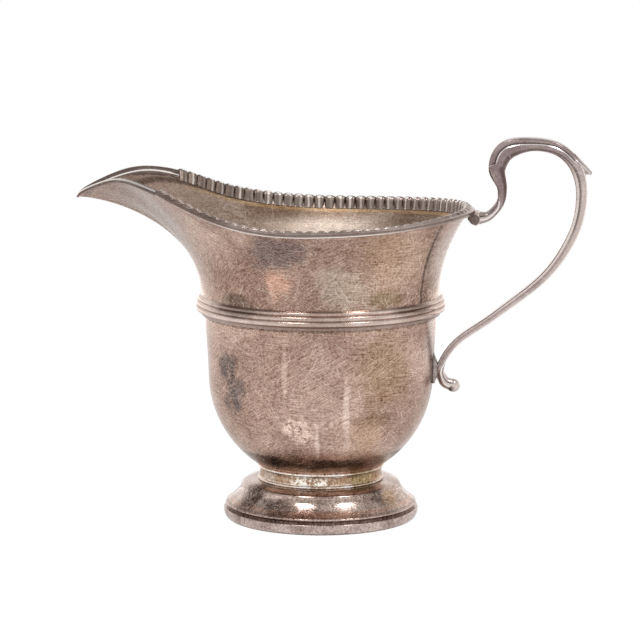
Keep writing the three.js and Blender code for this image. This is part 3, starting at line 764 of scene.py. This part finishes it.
# gadrooned border: equal lobes side by side, rounded at both ends
border = {
    "start": 36.23, "pitch": 3.05, "depth": 0.75, "fullness": 2.4, "stepsPerLobe": 12, "wider": 1.1, "widerReach": 14,
    "lobeEnd": (0.78, 0.94), "shallows": (0.6, 0.9), "shallowBy": 0.55, "edgeEnd": 0.14, "edgeSink": 0.45,
    "net": (38, 14),
    "look": dict(
        dark=(146, 130, 122), pale=(180, 166, 159), rough=0.25, specks=0.2, bump=0.008, speckTone=(116, 100, 92),
        grain=0.2, cloud=120, scratches=(),
        lines=[
            mark(24, 10, (114, 100, 91), 0.75),
            # painted highlight: pale feet of the lobes
            mark(31, 2, (206, 194, 184), 0.6),
            # painted highlight: a bright line along the outer fillet on the near side
            mark(1.8, 1.8, (246, 240, 236), 0.85, begin=(4, 34), until=(60, 76)),
            mark(4.8, 1.2, (104, 88, 80), 0.75),
            mark(7, 4, (92, 76, 68), 0.75, begin=(32, 16)),
            mark(10.5, 3.2, (96, 84, 80), 0.75, begin=(130, 160)),
            # painted shadow: a dark line where the border meets the wall
            mark(36, 1.2, (70, 56, 48), 0.7)],
        stains=[mark((-32, 31, 88), 16, (98, 82, 74), 0.75, wander=1.0, rough=0.3)]),
}
borderSpan = rimLength - 2*border["start"]
lobeCount = round(borderSpan/border["pitch"])
border["look"]["lobes"] = borderSpan/lobeCount
border["look"]["rows"] = border["net"]
borderColumns = lobeCount*border["stepsPerLobe"]
borderSections = []
for column in range(borderColumns + 1):
    lobe = column/border["stepsPerLobe"]

    def lobeSink(place):
        window = 1 - faded(place, *border["lobeEnd"])
        crest = max(1 - abs(2*(lobe % 1) - 1)**border["fullness"], 0)**0.5
        smooth = 1 - faded(place, 0.0, border["edgeEnd"])         # the outer edge stays plain
        depth = border["depth"]*(1 - border["shallowBy"]*faded(place, *border["shallows"]))
        return depth*(1 - crest*window)*(1 - smooth) + border["depth"]*border["edgeSink"]*smooth

    share = column/borderColumns
    # wider next to the handle
    wider = border["wider"]*math.exp(-((share - 0.5)*borderSpan/border["widerReach"])**2)
    borderSections.append(mouldingSection(border["start"] + borderSpan*share, 1.0, lobeSink, wider))
piece = barPiece("gadroonBorder", borderSections, (borderSpan, border["net"][1]))
settle(piece, "gadroon_border", [plateFinish("borderPlate", border["look"])], 50)


# plain lip round the spout, thinner towards the tip, with a ridge along its inner face and a bead at its foot
lip = {
    "reach": 36.17, "tipShare": 0.4, "taper": 0.7, "columns": 180, "crowding": 0.45, "point": 0.2, "sink": 0.42,
    "ridge": 0.34, "ridgePlace": 0.5, "ridgeWidth": 0.05, "ridgeEnd": (0.9, 0.97),
    "foot": 0.2, "footPlace": 0.84, "footWidth": 0.06, "upperSink": 0.18, "mapSize": (70, 12),
    "look": dict(
        dark=(86, 72, 68), pale=(122, 105, 98), rough=0.18, bump=0.015, grain=0.3, rows=(38, 12),
        lines=[
            # painted highlight: a bright line along the top edge
            mark(7, 1.3, (240, 232, 226), 0.8),
            mark(2.5, 2.4, (116, 100, 94), 0.8),
            # painted highlight: a bright line on the ridge
            mark(21.5, 0.9, (248, 240, 234), 0.9),
            # painted highlight: a pale line on the bead at the foot
            mark(29.6, 1.2, (240, 222, 208), 0.85),
            # painted shadow: a dark line where the lip meets the wall
            mark(36, 1.0, (70, 56, 48), 0.5)]),
}
lipSections = []
for column in range(lip["columns"] + 1):
    away = 2*column/lip["columns"] - 1
    away = away*(1 - lip["crowding"] + lip["crowding"]*abs(away))
    share = lip["tipShare"] + (1 - lip["tipShare"])*abs(away)**lip["taper"]

    def lipSink(place):
        fromRidge = place - lip["ridgePlace"]
        ridge = lip["ridge"]*math.exp(-(fromRidge/lip["ridgeWidth"])**2)*(1 - faded(abs(away), *lip["ridgeEnd"]))
        foot = lip["foot"]*math.exp(-((place - lip["footPlace"])/lip["footWidth"])**2)
        upper = lip["upperSink"]*(1 - faded(fromRidge, -0.12, 0.04))
        return (lip["sink"] + upper - ridge - foot)*share

    lipSections.append(mouldingSection(lip["reach"]*away, share, lipSink, lip["point"]*math.exp(-(away/0.05)**2)))
piece = barPiece("spoutLip", lipSections, lip["mapSize"])
settle(piece, "spout_lip", [plateFinish("lipPlate", lip["look"])], 40)


# handle: a cast scroll with bevelled sides, a crowned cap that runs out into a spur, and a knob
handle = {
    # middle x from the axis, height, thickness seen from the side, depth across
    "stations": [
        (42.75, 82.96, 3.6, 4.8), (45.75, 83.75, 2.6, 4.2), (48.6, 87.1, 2.3, 4.0), (49.15, 91.4, 2.7, 4.4),
        (47.75, 96.9, 4.7, 5.6), (50.27, 101.6, 5.1, 6.6), (57.1, 103.3, 3.4, 7.0), (64.30, 101.94, 3.3, 7.0),
        (69.1, 97.1, 3.4, 6.6), (70.65, 89.21, 3.1, 6.0), (68.41, 78.84, 2.8, 5.4), (61.02, 67.46, 2.4, 4.8),
        (47.66, 56.57, 2.0, 4.2), (37.19, 49.01, 1.95, 3.8), (32.84, 42.28, 2.15, 3.6), (33.79, 38.16, 3.05, 3.6),
        (36.24, 36.85, 3.3, 3.5)],
    "stepsPerStation": 14, "mapSize": (190, 16), "capStart": 4.0, "capBegins": 0.22, "capEnd": 8.15, "capEnds": 0.5,
    "capHeight": (2.0, 1.2), "capFall": 1.6, "capEdge": 0.4, "groove": 0.4, "capRound": 0.5, "capLeast": 0.02,
    "bevel": (0.3, 0.13), "bevelGrows": (6.0, 8.6), "bevelLeast": 0.25,
    "roundRoot": (1.5, 2.7), "roundCurl": (13.6, 14.8), "roundness": 0.9,
    "spurTip": (73.4, 95.8), "spurLength": 6.8, "spurSlope": 1.08, "spurUnder": ((68.4, 94.9), (73.15, 95.3)),
    "spurSteps": 16, "spurDepth": 7.0, "spurNeck": 0.9, "spurTaper": 2.8, "spurCap": 0.95, "spurCapFall": 0.5,
    "spurMap": (8, 16), "knob": (1.85, 1.8, 1.85),
    "look": dict(
        dark=(142, 126, 124), pale=(178, 164, 161), rough=0.22, specks=0.25, cloud=90, speckTone=(126, 108, 102),
        grain=0.3, bump=0.008, rows=(36, 16), mirrored=True,
        lines=[
            # painted highlight: a pale line along the cap's bevelled edge
            mark(6.8, 1.6, (240, 232, 228), 0.8),
            mark(10.7, 0.9, (66, 52, 48), 0.85),
            mark(4.0, 0.45, (76, 60, 56), 0.7, until=(114, 126)),
            mark(4.2, 0.4, (138, 116, 114), 0.6, begin=(114, 126)),
            # painted highlight: a white line on the inner bevel of the lower strap, bright through less metal
            mark(2.7, 0.9, (240, 230, 226), 0.9, dull=0.8, begin=(82, 104)),
            mark(1.9, 0.5, (86, 70, 66), 0.8, begin=(114, 126))],
        stains=[
            mark((35, -1.5, 38), 5, (222, 208, 203), 0.7, wander=0.5, core=0.5),
            mark((35.5, -1.5, 35.8), 1.6, (58, 46, 42), 0.8),
            mark((48.6, -2, 92), 3.5, (122, 104, 102), 0.6, spread=(1, 1, 0.7)),
            # painted shade: the top-left bend of the scroll made darker
            mark((49.5, -3, 98.5), 9, (116, 97, 97), 0.55, wander=1.0),
            mark((66, -3, 80), 20, (206, 191, 183), 0.7, wander=0.5, core=0.5),
            mark((46, -3, 56), 18, (206, 191, 186), 0.7, wander=0.5, core=0.4)]),
}
spinePoints = [Vector((x, 0, z)) for x, z, thickness, depth in handle["stations"]]
sizePoints = [Vector((thickness, depth, 0)) for x, z, thickness, depth in handle["stations"]]
lastStation = len(spinePoints) - 1


# half of a section in (across, outward), from the belly up to the crown of the cap; tenths of a mm ease its corners
def handleSection(thickness, depth, cap, roundness=0.0, bevelled=1.0):
    half, side = thickness/2, depth/2
    deep, wide = handle["bevel"][0]*thickness*bevelled, handle["bevel"][1]*depth*bevelled
    edge = handle["capEdge"]
    crown = max(side - edge - handle["groove"], 0.3)
    cut = min(cap, 0.3)
    corner = [(0, -half), (side - wide - 0.05, -half), (side - wide + 0.05, -half + 0.08),
              (side - 0.05, -half + deep - 0.1), (side, -half + deep),
              (side, half - cap - edge), (side - 0.07, half - cap - edge*0.7),
              (side - edge*0.7, half - cap - 0.04), (side - edge, half - cap),
              (side - edge - 0.08, half - cap - cut), (crown, half - cap - cut), (crown, half - cap)]
    bend = min(handle["capRound"], cap*0.8)
    corner += arcPoints((crown - bend, half - bend), (bend, bend - 0.06), 0, 90, 4)
    corner += [(crown*0.5, half - 0.02), (0, half)]
    rounded = []
    for k, (x, y) in enumerate(corner):
        angle = math.pi*(k/(len(corner) - 1) - 0.5)
        rounded.append((x + (side*math.cos(angle) - x)*roundness, y + (half*math.sin(angle) - y)*roundness))
    return rounded


def wholeSection(middle, outward, half):
    outline = half + [(-x, y) for x, y in half[-2:0:-1]] + half[:1]
    return [middle + Vector((0, -x, 0)) + outward*y for x, y in outline]


def spineAt(station):
    return lineAt(spinePoints, station/lastStation)


handleSections = []
capStart, capEnd, (high, low) = handle["capStart"], handle["capEnd"], handle["capHeight"]
for column in range(lastStation*handle["stepsPerStation"] + 1):
    station = column/handle["stepsPerStation"]
    ahead = spineAt(min(station + 0.02, lastStation)) - spineAt(max(station - 0.02, 0))
    outward = Vector((-ahead.z, 0, ahead.x)).normalized()
    size = lineAt(sizePoints, station/lastStation)
    fall = min(max((station - capStart)/(capEnd - capStart)*handle["capFall"], 0), 1)
    cap = (high + (low - high)*fall)*faded(station, capStart, capStart + handle["capBegins"])
    cap *= 1 - faded(station, capEnd - handle["capEnds"], capEnd)
    roundness = 1 - faded(station, *handle["roundRoot"]) + faded(station, *handle["roundCurl"])
    bevelled = handle["bevelLeast"] + (1 - handle["bevelLeast"])*faded(station, *handle["bevelGrows"])
    half = handleSection(size.x, size.y, max(cap, handle["capLeast"]), roundness*handle["roundness"], bevelled)
    handleSections.append(wholeSection(spineAt(station), outward, half))
scroll = barPiece("scrollHandle", handleSections, handle["mapSize"])

# spur: the cap goes straight on where the strap turns down
tip, underStart, underEnd = [Vector((x, 0, z)) for x, z in (handle["spurTip"], *handle["spurUnder"])]
lead = Vector((-1, 0, handle["spurSlope"])).normalized()
spurSections = []
for column in range(handle["spurSteps"] + 1):
    share = column/handle["spurSteps"]
    top = tip + lead*handle["spurLength"]*(1 - share)
    under = underStart.lerp(underEnd, share)
    depth = handle["spurDepth"] - handle["spurNeck"]*(1 - faded(share, 0, 0.25)) - handle["spurTaper"]*share**1.3
    half = handleSection((top - under).length, depth, handle["spurCap"] - handle["spurCapFall"]*share)
    spurSections.append(wholeSection((top + under)/2, (top - under).normalized(), half))
spur = barPiece("scrollSpur", spurSections, handle["spurMap"])

bpy.ops.mesh.primitive_uv_sphere_add(segments=40, ring_count=24, radius=mm)
knob = bpy.context.active_object
editAll()
bpy.ops.transform.resize(value=handle["knob"])
bpy.ops.transform.translate(value=(spinePoints[-1] + Vector((axisX, 0, 0)))*mm)
leaveEdit()
for addition in (spur, knob):
    applyModifier(scroll, "BOOLEAN", operation="UNION", solver="EXACT", object=addition)
    bpy.data.objects.remove(addition)
settle(scroll, "handle", [plateFinish("handlePlate", handle["look"])], 28)


# pads: side outlines in (x, height), drawn, filled, drawn out across and bevelled
def padPiece(name, pad):
    depth = pad["depth"]
    points = [Vector((axisX + x, -depth/2, z))*mm for x, z in pad["outline"]]
    piece = drawLine(name, points + points[:1])
    bpy.ops.mesh.edge_face_add()
    bpy.ops.mesh.extrude_region_move(TRANSFORM_OT_translate={"value": (0, depth*mm, 0)})
    closeMesh()
    applyModifier(piece, "BEVEL", width=pad["bevel"]*mm, segments=3, limit_method="ANGLE")
    editAll()
    bpy.ops.uv.cube_project(cube_size=mapUnit*mm)
    leaveEdit()
    return piece


rootPad = {
    "outline": [(39.8, 83.0), (40.7, 84.2), (42.0, 85.0), (43.2, 84.7), (43.3, 82.0), (42.4, 81.1), (41.0, 81.6)],
    "depth": 5.6, "bevel": 0.35,
    "look": dict(
        dark=(176, 160, 152), pale=(206, 192, 184), rough=0.3, specks=0.2, cloud=200, bump=0.02, grain=0.4,
        scratches=(),
        stains=[mark((41.6, -2.9, 82.8), 1.75, (98, 84, 78), 0.9, wander=0.3, core=0.8)]),
}
piece = padPiece("rootPad", rootPad)
settle(piece, "handle_root_pad", [plateFinish("rootPadPlate", rootPad["look"])])

heelPad = {
    "outline": [(30.5, 37.6), (31.2, 37.6), (31.75, 38.9), (32.0, 41.0), (32.0, 42.8), (31.5, 44.2), (31.05, 45.6),
                (30.85, 46.6), (30.72, 41.4)],
    "depth": 3.5, "bevel": 0.2,
    "look": dict(
        dark=(116, 102, 96), pale=(192, 180, 174), rough=0.45, specks=0.4, cloud=260, grain=0.6,
        speckTone=(120, 100, 88), scratches=()),
}
piece = padPiece("heelPad", heelPad)
settle(piece, "handle_heel_pad", [plateFinish("heelPadPlate", heelPad["look"])])
print("pieces done")


# studio: a pale floor, a white surround that is brighter behind and dimmer above, two soft lights in front
studio = {
    "target": (axisX, 0, 54.5), "distance": 900, "azimuth": 4, "pitch": 9.1, "lens": 185.3, "shift": -0.00125,
    "floor": 0.6, "floorGlow": (1.02, 1.12), "front": 1.05, "behind": 2.2, "behindUp": 1.3, "above": 0.65,
    "lights": [
        {"azimuth": -36, "pitch": 60, "distance": 1.0, "width": 0.21, "tall": 0.2, "power": 1.7},
        {"azimuth": 51, "pitch": 57, "distance": 1.0, "width": 0.17, "tall": 0.19, "power": 1.4}],
}


# puts a camera or light round the jug and turns it to the middle of the picture
def aimed(data, azimuth, distance, pitch):
    thing = bpy.data.objects.new(data.name, data)
    bpy.context.collection.objects.link(thing)
    azimuth, pitch = math.radians(azimuth), math.radians(pitch)
    level = math.cos(pitch)
    target = Vector(studio["target"])*mm
    thing.location = target + distance*Vector((math.sin(azimuth)*level, -math.cos(azimuth)*level, math.sin(pitch)))
    thing.rotation_euler = (target - thing.location).to_track_quat("-Z", "Y").to_euler()
    return thing


camera = aimed(bpy.data.cameras.new("camera"), studio["azimuth"], studio["distance"]*mm, studio["pitch"])
camera.data.lens = studio["lens"]
camera.data.sensor_width = 36
camera.data.shift_x = studio["shift"]
bpy.context.scene.camera = camera

for number, lamp in enumerate(studio["lights"]):
    data = bpy.data.lights.new("softLight%d" % number, "AREA")
    data.shape = "RECTANGLE"
    data.size, data.size_y, data.energy = lamp["width"], lamp["tall"], lamp["power"]
    light = aimed(data, studio["azimuth"] + lamp["azimuth"], lamp["distance"], lamp["pitch"])
    light.visible_camera = False

bpy.ops.mesh.primitive_plane_add(size=studio["floor"])
floor = bpy.context.active_object
floor.name = "paleFloor"
floorFinish = bpy.data.materials.new("palePaper")
floorFinish.use_nodes = True
paper = Graph(floorFinish.node_tree)
paperPlace = paper.add("ShaderNodeTexCoord", {}, {}, "Object")
paperColour = paper.blend(paper.noise(paperPlace, 900, 2), (0.995, 0.995, 0.995, 1), (1, 1, 1, 1))
paperX, unused, unused = paper.apart(paperPlace)
paperShader = paper.add("ShaderNodeEmission", {}, {
    "Color": paperColour, "Strength": paper.fade(abs(paperX), 0.015, 0.11, *studio["floorGlow"])})
paper.add("ShaderNodeOutputMaterial", {}, {"Surface": paperShader})
floor.data.materials.append(floorFinish)
floor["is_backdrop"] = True

world = bpy.data.worlds.new("whiteSurround")
world.use_nodes = True
bpy.context.scene.world = world
sky = Graph(world.node_tree)
x, y, z = sky.apart(sky.add("ShaderNodeTexCoord", {}, {}, "Generated"))
behind = sky.fade(z, -0.08, 0.12, studio["behind"], studio["behindUp"])
level = sky.fade(y, 0.58, 0.76, studio["front"], behind)*sky.fade(z, 0.3, 0.65, 1.0, studio["above"])
seen = sky.add("ShaderNodeLightPath", {}, {}, "Is Camera Ray")
surround = sky.add("ShaderNodeBackground", {}, {"Color": (1, 1, 1, 1), "Strength": level*(1 - seen) + seen})
sky.add("ShaderNodeOutputWorld", {}, {"Surface": surround})
bpy.context.scene.view_settings.view_transform = "Standard"
print("studio ready")

low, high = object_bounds()
